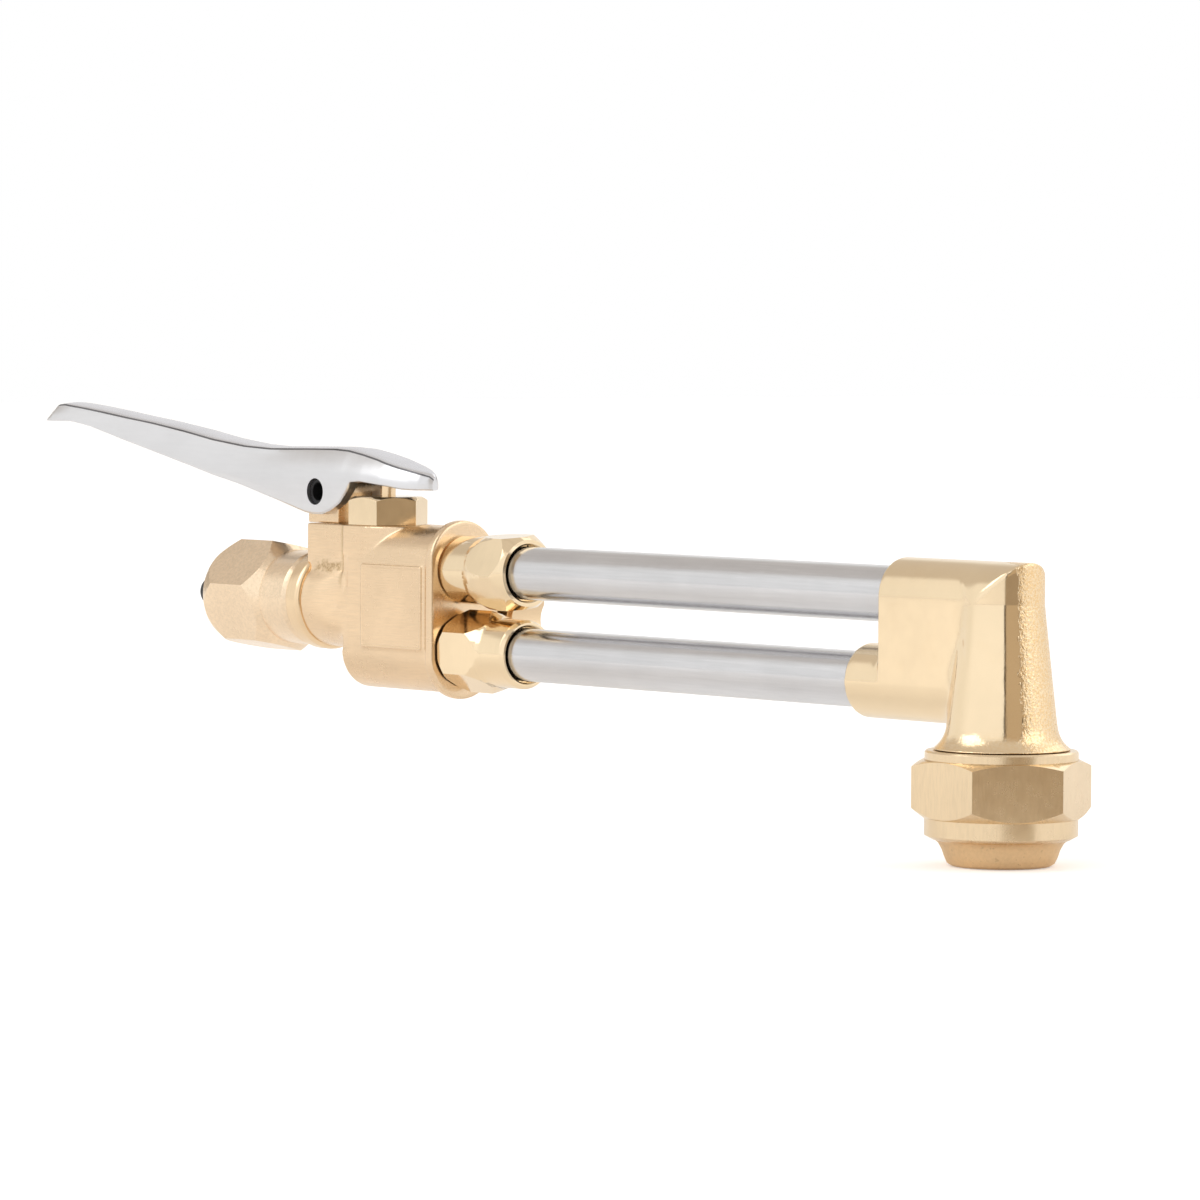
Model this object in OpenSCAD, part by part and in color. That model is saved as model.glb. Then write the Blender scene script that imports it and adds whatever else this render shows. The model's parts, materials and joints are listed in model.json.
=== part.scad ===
// Cutting attachment for an oxy-fuel torch: a forged brass valve body with a
// loose coupling nut at its tail, a squeeze lever over a cutting-oxygen valve,
// a preheat valve on the far side, two steel tubes and a right-angle head
// with a tip nut.
// Millimetres. The coupling axis is X, with X = 0 at the coupling nut's mouth
// and the head at +X. Z is up, and the tip points down.

/* [Tubes] */
// Outer diameter of the two tubes
tube_d = 9.5; // [9:0.1:9.6]
// Wall thickness of a tube
tube_wall = 0.9; // [0.5:0.1:1.5]
// Distance between the two tube axes
tube_pitch = 14.6; // [14.4:0.1:15]

/* [Overall] */
// Distance from the coupling nut's mouth to the tip axis
reach = 208; // [200:1:230]
// How far the tubes' mid-line lies below the coupling axis
tube_drop = 0.5; // [0:0.1:0.8]

/* [Coupling] */
// Coupling nut, across the flats
coupling_af = 19; // [18.5:0.1:20]
// Radius of the coupling nut's thread, at its crests
coupling_r = 7.5; // [7.2:0.1:7.6]

/* [Tip nut] */
// Tip nut, across the flats
tip_nut_af = 26; // [25.4:0.1:28]
// Radius of the hole that the cutting tip stands in
tip_hole_r = 6.6; // [6:0.1:7]

/* [Lever] */
// Width of the lever at its pivot
lever_w = 12.2; // [12.2:0.1:13]
// Width of the lever's thumb end
lever_end_w = 9.4; // [8.5:0.1:11]
// Thickness of the lever's cheeks
lever_wall = 1.7; // [1.5:0.1:1.7]

/* [Hidden] */
$fn = 96;
slack = 0.05;   // gap on each side of a fitted part
run = 0.08;     // radial gap of a turning or sliding fit

upper_z = tube_pitch / 2 - tube_drop;
lower_z = -tube_pitch / 2 - tube_drop;
tube_r = tube_d / 2;

// Tail and coupling nut
nut_len = 25.4;
spigot_r = 6;
spigot_x = 11;
tail_r = 2.5;
tail_end = -6.4;
nose_end = -10.1;
oring_tail_x = -3.6;

// Body block
neck_x = 29.9;
neck_r = 8.7;
block_x = [40.4, 65.7];
block_r = 7.1;
block_half = 8.1;          // half the distance between the block's round ends
boss_x = [28.9, 43];
boss_half_w = 6.7;
boss_gap_r = 9.4;          // the boss clears the retaining ring by this radius
top_z = 14.3;
flat_end = 56.4;
flange_t = 1.9;
flange_x = block_x[1] + flange_t;
flange_grow = 0.5;
pad_x = [46.6, 64.4];
pad_z = [-7.9, 7.4];
pad_t = 0.3;

// Cutting-oxygen valve
valve_x = 45.2;
valve_r = 4.8;
valve_floor = 1.9;
seat_top = 3.6;
cap_shank_z = 11.5;
cap_r = 7.46;
cap_top = 19.5;
stem_r = 1.4;
web_x = [42.3, 49.5];      // lever's web, which lifts the stem by its button
web_z = [22.3, 23.4];
web_slot_x = [40, 47.5];
button_r = 2.2;
button_z = web_z[1] + 0.3;
thread_r = 0.9;

// Lever post and pivot
pivot = [31, 0, 20.1];
pin_r = 2.4;
pin_half = 5.4;             // half the pin's length, a little inside the cheeks
post_len = 9;
post_half_w = 4.1;
post_r = 4.6;
stud_r = 2.4;
stud_x = 32.6;
stud_z = 9.6;
web_half = 4.7;            // half the web's width, a little into each cheek

// Tube nuts
nut_start = flange_x + 0.4;
nut_end = 86;
nut_mouth_r = 5.05;
tube_nut_r = 7.5;
tube_nut_round = 6.2;
boss_thread_r = 5.3;
boss_thread_x = 74;
tube_start = 74.4;

// Head
bar_r = 6.3;
upper_bar_x = 184.7;
lower_bar_x = 176.4;
socket_depth = 9;
seat_z = -26.2;
tip_thread_r = 10.2;
column_r = 6.9;
column_z = 6;

// Tip nut
tip_nut_top = -17.7;
tip_nut_bottom = -36.6;
hex_z = [-28.8, -19.2];
tip_ring_r = 12.6;

// Preheat valve, on the far side
preheat = [56.5, block_r, -tube_drop];
preheat_shank_r = 3.6;
gland_end = 12.6;
knob_y = [14, 21.4];
knob_r = 9.2;
knob_lobes = 6;
knob_clock = -17;
flute_r = 4.2;
flute_depth = 1.9;
needle_seat_y = 1;
needle_hole_r = 1.3;
stem_back_y = 16.8;
preheat_stem_r = 1.6;

// Fuel gas drilling
fuel_r = 3.95;
fuel_slope = 5.5;

// Valve spring
spring_r = 2.7;
spring_wire = 0.3;
spring_turns = 4;
spring_steps = 12;
spring_sides = 6;

// ---------------------------------------------------------------- colours
module brass() { color("#d8b678") children(); }
module gold() { color("#e6c77e") children(); }
module steel() { color("#b9b9bb") children(); }
module polished() { color("#d4d4d8") children(); }
module black() { color("#1c1c1e") children(); }
module rubber() { color("#242424") children(); }

// ---------------------------------------------------------------- helpers
// Turns a shape drawn along Z so that it runs along +X, starting at x.
module along_x(x, z = 0) { translate([x, 0, z]) rotate([0, 90, 0]) children(); }

// Turns a shape drawn along Z so that it runs along +Y, starting at y.
module along_y(x, y, z) { translate([x, y, z]) rotate([-90, 0, 0]) children(); }

// Rod and tube along +X between two places.
module rod_x(x0, x1, r, z = 0) { along_x(x0, z) cylinder(r = r, h = x1 - x0); }

module ring_x(x0, x1, r_out, r_in, z = 0) {
    along_x(x0, z) difference() {
        cylinder(r = r_out, h = x1 - x0);
        translate([0, 0, -1]) cylinder(r = r_in, h = x1 - x0 + 2);
    }
}

// A turned solid about Z from a list of [radius, height] points.
module turned(points) { rotate_extrude() polygon(points); }

// Hexagonal bar about Z, trimmed by a turned outline.
module hex_turned(r, z0, z1, points) {
    intersection() {
        translate([0, 0, z0]) cylinder(r = r, h = z1 - z0, $fn = 6);
        turned(points);
    }
}

// O-ring about Z.
module oring(r, section) { rotate_extrude() translate([r, 0]) circle(r = section, $fn = 32); }

// A slab with round top and bottom, along X: two rods and the plate between them.
module round_slab(x0, x1, r, half, z) {
    rod_x(x0, x1, r, z + half);
    rod_x(x0, x1, r, z - half);
    translate([x0, -r, z - half]) cube([x1 - x0, 2 * r, 2 * half]);
}

// Points of a smooth curve through a list of points.
function curve_at(p0, p1, p2, p3, t) =
    0.5 * (2 * p1 + (p2 - p0) * t + (2 * p0 - 5 * p1 + 4 * p2 - p3) * t * t
        + (3 * p1 - p0 - 3 * p2 + p3) * t * t * t);
function smooth(p, steps = 5) = [
    for (i = [0 : len(p) - 2]) for (s = [0 : steps - 1])
        curve_at(p[max(i - 1, 0)], p[i], p[i + 1], p[min(i + 2, len(p) - 1)], s / steps),
    p[len(p) - 1]
];

// ---------------------------------------------------------------- body
module body() brass() difference() {
    union() {
        round_slab(block_x[0], block_x[1], block_r, block_half, -tube_drop);
        round_slab(block_x[1], flange_x, block_r + flange_grow, block_half + flange_grow, -tube_drop);
        difference() {
            translate([boss_x[0], -boss_half_w, 0])
                cube([boss_x[1] - boss_x[0], 2 * boss_half_w, top_z]);
            rod_x(boss_x[0] - 1, neck_x, boss_gap_r);
        }
        translate([pad_x[0], -block_r - pad_t, pad_z[0]])
            cube([pad_x[1] - pad_x[0], 2 * (block_r + pad_t), pad_z[1] - pad_z[0]]);
        rod_x(neck_x, block_x[0] + 0.6, neck_r);
        rod_x(spigot_x, neck_x, spigot_r);
        for (z = [upper_z, lower_z]) rod_x(flange_x, boss_thread_x, boss_thread_r, z);
    }
    // flat for the valve cap nut
    translate([boss_x[0] - 1, -block_r - 1, top_z])
        cube([flat_end - boss_x[0] + 1, 2 * block_r + 2, 5]);
    // cutting-oxygen valve chamber, with its inlet below
    translate([valve_x, 0, valve_floor]) cylinder(r = valve_r + slack, h = 30);
    translate([valve_x, 0, 0]) cylinder(r = 1.2, h = valve_floor + 1);
    // lever post's stud hole
    translate([stud_x, 0, stud_z - 0.6]) cylinder(r = stud_r + slack, h = 12);
    // tail cone's socket, oxygen passage and outlets
    rod_x(spigot_x - 1, 20.1, 3 + slack);
    rod_x(19, preheat[0], 1.3);
    rod_x(valve_x, boss_thread_x + 1, 2, upper_z);
    rod_x(40, boss_thread_x + 1, 2, lower_z);
    // fuel gas: a ring groove behind the tail cone, and a sloping drilling to the lower outlet
    ring_x(spigot_x - 1, spigot_x + 0.9, fuel_r + 0.7, fuel_r - 0.7);
    translate([spigot_x - 0.5, 0, -fuel_r]) rotate([0, 90 + fuel_slope, 0])
        cylinder(r = 0.7, h = 38);
    // preheat valve chamber, its seat's hole and its outlet
    along_y(preheat[0], -2, preheat[2]) cylinder(r = needle_hole_r, h = 12);
    along_y(preheat[0], needle_seat_y, preheat[2])
        cylinder(r = preheat_shank_r + slack, h = 12);
    translate([preheat[0], needle_seat_y + 1, lower_z]) cylinder(r = 0.8, h = -lower_z);
    // injector nozzle's seat
    rod_x(70, boss_thread_x + 1, 2.6, lower_z);
}

module retaining_ring() brass() along_x(25.7) turned([[spigot_r + slack, 0], [8.6, 0], [9.1, 0.35],
    [9.3, 0.9], [9.3, 3.2], [9.1, 3.8], [8.7, 4.15], [spigot_r + slack, 4.15]]);

// ---------------------------------------------------------------- tail
module tail_cone() brass() difference() {
    along_x(0) turned([[0, tail_end], [tail_r, tail_end], [tail_r, 4.2], [3.2, 4.9], [3.2, 5.4],
        [5.2, 7.4], [5.2, 8.6], [7, 8.6], [7, 10.9], [3, 10.9], [3, 20], [0, 20]]);
    rod_x(tail_end - 1, 21, 1.2);
    // fuel gas holes through the cone
    for (i = [0 : 3]) rotate([45 + 90 * i, 0, 0]) rod_x(3.4, 12, 0.4, fuel_r);
    // grooves of the two seals
    ring_x(7.5, 8.5, 6, 4.5);
    ring_x(oring_tail_x - 0.55, oring_tail_x + 0.55, 3.2, 1.85);
}

module tail_cone_seal() rubber() along_x(8) oring(4.98, 0.45);
module tail_tube_seal() rubber() along_x(oring_tail_x) oring(2.29, 0.42);

module tail_nose() black() difference() {
    along_x(0) turned([[1.3, tail_end], [2.75, tail_end], [2.75, nose_end + 0.9],
        [2.1, nose_end], [1.3, nose_end]]);
}

module coupling_nut() brass() difference() {
    rotate([18, 0, 0]) along_x(0) union() {
        hex_turned(coupling_af / sqrt(3), 0, 19, [[0, 0], [8.9, 0], [9.25, 0.5], [10.95, 4.7],
            [12, 4.7], [12, 14.4], [10.95, 14.4], [8.75, 17.4], [8.75, 19], [0, 19]]);
        turned([[0, 17], [8.75, 17], [8.75, 24.2], [8, nut_len], [0, nut_len]]);
    }
    rod_x(-1, 11.2, coupling_r);
    rod_x(0, 30, spigot_r + run);
    // lead-in at the thread's mouth
    along_x(-0.01) turned([[0, 0], [coupling_r + 0.7, 0], [coupling_r, 0.7], [0, 0.7]]);
    // thread runout
    ring_x(9.4, 11.2, coupling_r + 0.35, 3);
}

// ---------------------------------------------------------------- cutting-oxygen valve
module valve_cap_nut() gold() translate([valve_x, 0, 0]) difference() {
    union() {
        rotate([0, 0, 5.2]) hex_turned(cap_r, top_z + 0.02, cap_top, [[0, top_z], [9, top_z],
            [9, cap_top - 0.75], [cap_r, cap_top - 0.75], [6.2, cap_top], [0, cap_top]]);
        translate([0, 0, cap_shank_z]) cylinder(r = valve_r, h = top_z - cap_shank_z + 1);
    }
    translate([0, 0, 5]) cylinder(r = stem_r + run, h = 20);
    // packing chamber
    translate([0, 0, cap_shank_z + 1]) cylinder(r = 2.6, h = 2.2);
}

module valve_packing() rubber() translate([valve_x, 0, cap_shank_z + 1 + slack]) difference() {
    cylinder(r = 2.55, h = 2.1);
    translate([0, 0, -1]) cylinder(r = stem_r + run, h = 5);
}

module valve_seat() brass() translate([valve_x, 0, valve_floor + 0.05]) difference() {
    cylinder(r = valve_r, h = seat_top - valve_floor - 0.1);
    translate([0, 0, -1]) cylinder(r = 1.4, h = 5);
}

module stem_seat_disc() rubber() translate([valve_x, 0, seat_top]) difference() {
    cylinder(r = 3.1, h = 1);
    translate([0, 0, -1]) cylinder(r = 0.9, h = 4);
}

module valve_stem() brass() translate([valve_x, 0, 0]) {
    translate([0, 0, seat_top + 0.1]) cylinder(r = 0.85, h = 2);
    translate([0, 0, seat_top + 1.05]) cylinder(r = 3.3, h = 1.3);
    translate([0, 0, seat_top + 2]) cylinder(r = stem_r, h = button_z - seat_top - 2);
    translate([0, 0, button_z - 0.5]) cylinder(r = thread_r, h = 1.5);
}

// Round nut on the stem's top end, above the lever's web.
module stem_button() steel() translate([valve_x, 0, button_z]) difference() {
    turned([[0, 0], [stem_r + 0.1, 0], [button_r, 0.3], [button_r, 0.75], [1.8, 1], [0, 1]]);
    translate([0, 0, -1]) cylinder(r = thread_r + 0.02, h = 4);
}

// One ring of the spring's wire at turn number t.
function spring_ring(t, z0, rise) = [
    for (s = [0 : spring_sides - 1])
        let (a = 360 * s / spring_sides, r = spring_r + spring_wire * cos(a))
            [r * cos(360 * t), r * sin(360 * t), z0 + rise * t + spring_wire * sin(a)]
];

module valve_spring() steel() translate([valve_x, 0, 0]) {
    z0 = seat_top + 2.35 + spring_wire + 0.1;
    rise = (cap_shank_z - 0.1 - spring_wire - z0) / spring_turns;
    count = spring_turns * spring_steps;
    points = [for (i = [0 : count]) each spring_ring(i / spring_steps, z0, rise)];
    sides = [
        for (i = [0 : count - 1]) for (s = [0 : spring_sides - 1])
            let (a = i * spring_sides + s, b = i * spring_sides + (s + 1) % spring_sides)
                [a, b, b + spring_sides, a + spring_sides]
    ];
    first = [for (s = [spring_sides - 1 : -1 : 0]) s];
    last = [for (s = [0 : spring_sides - 1]) count * spring_sides + s];
    polyhedron(points, [first, each sides, last], convexity = 10);
}

// ---------------------------------------------------------------- lever
module lever_post() brass() translate([pivot[0], 0, 0]) difference() {
    union() {
        translate([-post_len / 2, -post_half_w, top_z + slack])
            cube([post_len, 2 * post_half_w, pivot[2] - top_z - slack]);
        along_y(0, -post_half_w, pivot[2]) cylinder(r = post_r, h = 2 * post_half_w);
        translate([stud_x - pivot[0], 0, stud_z]) cylinder(r = stud_r, h = top_z - stud_z + 1);
    }
    along_y(0, -10, pivot[2]) cylinder(r = pin_r + 0.01, h = 20);
}

// Side outline of the lever: along the top from the thumb end, then back underneath.
lever_top = [[-60.9, 31.8], [-59.7, 33.1], [-57.9, 34.4], [-55.8, 35.2], [-53, 35.4],
    [-46.3, 34.8], [-32.2, 33.2], [-13, 30.9], [-3.9, 29.5], [6.1, 28.45], [14.1, 27.95],
    [20.8, 27.85], [33.9, 28], [38.2, 27.8], [46.7, 26.3], [54.2, 24.4], [57.9, 23.5],
    [59.5, 22.2]];
lever_front = [[59.4, 21.1], [58.5, 20.8], [53.8, 21], [50.9, 21.45], [43.9, 22.15], [41.3, 21.96]];
lever_lobe = [[40, 20.35], [37.9, 18.1], [35.3, 16.7], [32.7, 15.95], [27.5, 16.2]];
lever_grip = [[19.7, 17.95], [6.2, 20.8], [-2.6, 22.3], [-18.5, 25.6], [-32.6, 28.5],
    [-43.2, 30.8], [-49.5, 31.6], [-59.6, 31.7]];

// Half the lever's width along its length.
lever_plan = [[-60.9, 0.3], [-60.3, 2.2], [-58.5, 3.9], [-54, lever_end_w / 2 - 0.1],
    [-40, lever_end_w / 2], [-10, lever_end_w / 2 + 0.1], [14, lever_w / 2 - 0.6],
    [27, lever_w / 2 - 0.1], [36, lever_w / 2], [44, 5.8], [51, 5.2], [53.8, 4.8], [56, 4.2],
    [57.8, 3.2], [58.8, 2.2], [59.5, 0.3]];

function mirrored(p) = [for (i = [len(p) - 1 : -1 : 0]) [p[i][0], -p[i][1]]];

module lever_side() polygon([each smooth(lever_top), each smooth(lever_front, 3),
    each smooth(lever_lobe, 4), each smooth(lever_grip, 3)]);
module lever_outline() polygon([each smooth(lever_plan, 4), each mirrored(smooth(lever_plan, 4))]);

// Channel under the lever, drawn as its side outline and its plan.
module lever_channel_side() polygon([[-41, 20], [-41, 32.2], [-16, 29.7], [2.4, 27.2],
    [17, 26], [38, 26], [44, 25.5], [48.5, 24.75], [54, 22.9], [54, 10], [-41, 10]]);
channel_plan = [[-41, lever_end_w / 2 - 1.6], [10, lever_end_w / 2 - 1.2],
    [25, lever_w / 2 - lever_wall], [41, lever_w / 2 - lever_wall], [54, 2.4]];
module lever_channel_plan() polygon([each channel_plan, each mirrored(channel_plan)]);

module side_cut(half) rotate([90, 0, 0]) translate([0, 0, -half])
    linear_extrude(height = 2 * half) children();

// Web between the cheeks, with a slot for the stem, open at the back.
module lever_web() difference() {
    translate([web_x[0], -web_half, web_z[0]])
        cube([web_x[1] - web_x[0], 2 * web_half, web_z[1] - web_z[0]]);
    translate([web_slot_x[0], -stem_r - 0.3, web_z[0] - 1])
        cube([web_slot_x[1] - web_slot_x[0], 2 * stem_r + 0.6, 4]);
}

module lever() polished() difference() {
    union() {
        difference() {
            intersection() {
                side_cut(12) lever_side();
                linear_extrude(height = 60) lever_outline();
            }
            intersection() {
                side_cut(12) lever_channel_side();
                translate([0, 0, 5]) linear_extrude(height = 40) lever_channel_plan();
            }
        }
        lever_web();
    }
    along_y(pivot[0], -10, pivot[2]) cylinder(r = pin_r + slack, h = 20);
}

module lever_pin() black() difference() {
    along_y(pivot[0], -pin_half, pivot[2]) cylinder(r = pin_r, h = 2 * pin_half);
    // rolled from sheet: hollow, with a slot along one side
    along_y(pivot[0], -lever_w, pivot[2]) cylinder(r = pin_r - 0.75, h = 2 * lever_w);
    translate([pivot[0], -lever_w, pivot[2] - 0.3]) cube([pin_r + 1, 2 * lever_w, 0.6]);
}

// ---------------------------------------------------------------- tubes and their nuts
// Hole through a tube nut: wide over the thread and ferrule, narrow round the tube.
module tube_nut_bore(z) {
    rod_x(nut_start - 1, 80.5, boss_thread_r + slack, z);
    rod_x(80, nut_end + 1, tube_r + slack, z);
    rod_x(nut_end - 3, nut_end + 1, nut_mouth_r, z);
    along_x(nut_end - 0.6, z) turned([[0, 0], [tube_r, 0], [nut_mouth_r + 0.5, 0.8], [0, 0.8]]);
}

module upper_tube_nut() gold() difference() {
    union() {
        along_x(0, upper_z) turned([[0, nut_start], [5.9, nut_start], [tube_nut_round, nut_start + 0.5],
            [tube_nut_round, 80], [0, 80]]);
        translate([0, 0, upper_z]) rotate([-85, 0, 0]) along_x(0) hex_turned(tube_nut_r, 70, nut_end,
            [[0, 70], [5.9, 73], [6.2, 74.6], [7.05, 77.7], [7.4, 81], [8, 81.8], [8, 82.7],
            [7.5, 83.5], [6, nut_end], [0, nut_end]]);
    }
    tube_nut_bore(upper_z);
}

module lower_tube_nut() gold() difference() {
    union() {
        translate([0, 0, lower_z]) rotate([1.5, 0, 0]) along_x(0) hex_turned(tube_nut_r, nut_start, 81,
            [[0, nut_start], [6.6, nut_start], [7.4, nut_start + 1.4], [8, nut_start + 2],
            [8, 75], [7.5, 75.8], [6, 80.2], [0, 80.2]]);
        along_x(0, lower_z) turned([[0, 74], [tube_nut_round, 74], [tube_nut_round, nut_end - 0.8],
            [5.7, nut_end], [0, nut_end]]);
    }
    tube_nut_bore(lower_z);
}

module tube(x_end, z) steel() ring_x(tube_start, x_end, tube_r, tube_r - tube_wall, z);
module upper_tube() tube(upper_bar_x + socket_depth - 0.2, upper_z);
module lower_tube() tube(lower_bar_x + socket_depth - 0.2, lower_z);

module ferrule(z) brass() ring_x(tube_start + 0.6, 80.3, boss_thread_r, tube_r + 0.02, z);
module upper_ferrule() ferrule(upper_z);
module lower_ferrule() ferrule(lower_z);

module injector_nozzle() brass() difference() {
    along_x(0, lower_z) turned([[0, 70.1], [2.55, 70.1], [2.55, 74.1], [3.4, 74.1], [3.4, 76],
        [1.4, 82], [0, 82]]);
    rod_x(69, 83, 0.7, lower_z);
}

// ---------------------------------------------------------------- head
module head() gold() difference() {
    union() {
        round_slab(upper_bar_x, reach, bar_r, tube_pitch / 2, -tube_drop);
        rod_x(lower_bar_x, reach, bar_r, lower_z);
        // tapered column with its foot
        translate([reach, 0, 0]) turned([[0, -17.6], [11.5, -17.6], [10.4, -16.8], [9.7, -15.9],
            [9.2, -14.6], [8.2, -5.9], [column_r, column_z], [0, column_z]]);
        // round top of the column, in line with the upper bar
        intersection() {
            translate([reach, 0, column_z - 1]) cylinder(r = column_r, h = 10);
            rod_x(reach - 12, reach + 12, column_r, column_z + 0.2);
        }
        // thread for the tip nut
        translate([reach, 0, seat_z]) cylinder(r = tip_thread_r, h = -seat_z - 17.4);
    }
    // tube sockets
    rod_x(upper_bar_x - 1, upper_bar_x + socket_depth, tube_r + slack, upper_z);
    rod_x(lower_bar_x - 1, lower_bar_x + socket_depth, tube_r + slack, lower_z);
    // passages to the tip seat
    rod_x(upper_bar_x, reach, 2, upper_z);
    rod_x(lower_bar_x, reach - 4.5, 2, lower_z);
    translate([reach, 0, -14]) cylinder(r = 2, h = 14 + upper_z);
    translate([reach - 4.5, 0, -16.8]) cylinder(r = 1.2, h = 10);
    // stepped conical seat of the tip
    translate([reach, 0, 0]) turned([[0, seat_z - 1], [8, seat_z - 1], [8, seat_z], [6.6, -22.4],
        [6.6, -20.4], [5.6, -19.4], [5.6, -17.6], [3.4, -15.4], [0, -13]]);
}

module tip_nut() brass() translate([reach, 0, 0]) rotate([0, 0, -2.1]) difference() {
    union() {
        hex_turned(tip_nut_af / sqrt(3), hex_z[0], hex_z[1], [[0, hex_z[0]], [12.8, hex_z[0]],
            [15, hex_z[0] + 1.7], [16, hex_z[0] + 1.7], [16, hex_z[1] - 1.1], [15, hex_z[1] - 1.1],
            [12.8, hex_z[1]], [0, hex_z[1]]]);
        turned([[0, tip_nut_bottom], [8.1, tip_nut_bottom], [8.8, -36.2], [9.3, -35.2],
            [9.7, -34], [10.3, -32.9], [10.9, -32.4], [11.3, -32.3], [tip_ring_r, -31.6],
            [tip_ring_r, hex_z[0]], [12.2, hex_z[0] + 2], [12.2, hex_z[1] - 2],
            [tip_ring_r, hex_z[1]], [tip_ring_r, tip_nut_top - 0.3], [12.3, tip_nut_top],
            [0, tip_nut_top]]);
    }
    // the tip's hole, the shoulder that pulls the tip up, and the thread
    translate([0, 0, -40]) cylinder(r = tip_hole_r, h = 10);
    turned([[0, -31], [tip_hole_r, -31], [tip_thread_r + run, -27.4],
        [tip_thread_r + run, -10], [0, -10]]);
    translate([0, 0, tip_nut_bottom - 0.01])
        turned([[0, 0], [tip_hole_r + 0.7, 0], [tip_hole_r, 0.7], [0, 0.7]]);
}

// ---------------------------------------------------------------- preheat valve
module preheat_gland_nut() brass() translate([preheat[0], 0, preheat[2]]) rotate([-90, 0, 0])
    difference() {
        union() {
            hex_turned(6.35, preheat[1] + pad_t + 0.05, gland_end, [[0, 0], [9, 0], [9, 11.6],
                [6.35, 11.7], [5.2, gland_end], [0, gland_end]]);
            translate([0, 0, 3]) cylinder(r = preheat_shank_r, h = 5);
        }
        cylinder(r = preheat_stem_r + run, h = 20);
        translate([0, 0, 2]) cylinder(r = 2.8, h = 3.5);
    }

module preheat_packing() rubber() along_y(preheat[0], 3.4, preheat[2]) difference() {
    cylinder(r = 2.75, h = 2);
    translate([0, 0, -1]) cylinder(r = preheat_stem_r + run, h = 5);
}

module preheat_stem() brass() along_y(preheat[0], 0, preheat[2])
    turned([[0, -1.4], [0.3, -1.4], [needle_hole_r - 0.02, needle_seat_y], [preheat_stem_r, 1.9],
        [preheat_stem_r, stem_back_y], [0, stem_back_y]]);

module preheat_knob() brass() along_y(preheat[0], 0, preheat[2]) difference() {
    turned([[0, knob_y[0]], [6, knob_y[0]], [8, knob_y[0] + 0.8], [knob_r, knob_y[0] + 1.6],
        [knob_r, knob_y[1] - 1], [8, knob_y[1]], [0, knob_y[1]]]);
    for (i = [0 : knob_lobes - 1]) rotate([0, 0, 360 * (i + 0.5) / knob_lobes + knob_clock])
        translate([knob_r - flute_depth + flute_r, 0, 0]) cylinder(r = flute_r, h = 40);
    cylinder(r = preheat_stem_r + 0.02, h = stem_back_y + 0.1);
    cylinder(r = 1.3, h = 40);
    translate([0, 0, knob_y[1] - 1.3]) cylinder(r = 3.2, h = 5);
}

module knob_screw() steel() along_y(preheat[0], 0, preheat[2]) difference() {
    turned([[0, stem_back_y + 0.2], [1.25, stem_back_y + 0.2], [1.25, knob_y[1] - 1.25], [2.9, knob_y[1] - 1.25],
        [2.9, knob_y[1] + 0.2], [2.4, knob_y[1] + 0.8], [0, knob_y[1] + 0.8]]);
    translate([-4, -0.35, knob_y[1] - 0.1]) cube([8, 0.7, 3]);
}

body();
retaining_ring();
tail_cone();
tail_cone_seal();
tail_tube_seal();
tail_nose();
coupling_nut();
valve_cap_nut();
valve_packing();
valve_spring();
valve_seat();
valve_stem();
stem_seat_disc();
stem_button();
lever_post();
lever();
lever_pin();
upper_tube_nut();
lower_tube_nut();
upper_tube();
lower_tube();
upper_ferrule();
lower_ferrule();
injector_nozzle();
head();
tip_nut();
preheat_gland_nut();
preheat_packing();
preheat_stem();
preheat_knob();
knob_screw();
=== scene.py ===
import json
import math
import bmesh
import bpy
import numpy as np
from mathutils import Matrix, Vector


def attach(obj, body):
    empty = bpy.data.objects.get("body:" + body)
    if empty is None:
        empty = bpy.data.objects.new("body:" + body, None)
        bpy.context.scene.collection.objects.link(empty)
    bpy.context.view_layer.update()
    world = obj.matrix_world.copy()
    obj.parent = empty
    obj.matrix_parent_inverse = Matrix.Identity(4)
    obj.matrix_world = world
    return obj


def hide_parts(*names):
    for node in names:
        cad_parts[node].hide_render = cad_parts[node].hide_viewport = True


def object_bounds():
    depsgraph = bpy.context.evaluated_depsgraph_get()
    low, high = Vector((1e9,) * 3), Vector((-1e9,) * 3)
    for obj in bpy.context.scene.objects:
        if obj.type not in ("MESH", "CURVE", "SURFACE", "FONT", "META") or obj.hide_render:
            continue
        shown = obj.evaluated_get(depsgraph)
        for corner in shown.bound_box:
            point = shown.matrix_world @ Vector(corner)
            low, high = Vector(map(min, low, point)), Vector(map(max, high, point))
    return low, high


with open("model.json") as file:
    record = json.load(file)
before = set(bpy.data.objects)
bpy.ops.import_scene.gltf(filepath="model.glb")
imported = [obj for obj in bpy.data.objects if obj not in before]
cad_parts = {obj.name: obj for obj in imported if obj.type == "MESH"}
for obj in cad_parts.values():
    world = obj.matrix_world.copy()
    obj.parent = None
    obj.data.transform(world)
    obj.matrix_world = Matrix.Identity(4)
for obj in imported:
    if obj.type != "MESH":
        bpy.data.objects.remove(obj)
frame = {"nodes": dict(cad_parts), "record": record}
cad_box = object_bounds()
nodes = frame["nodes"]
record = frame["record"]
scene = bpy.context.scene
MM = 0.001

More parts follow.
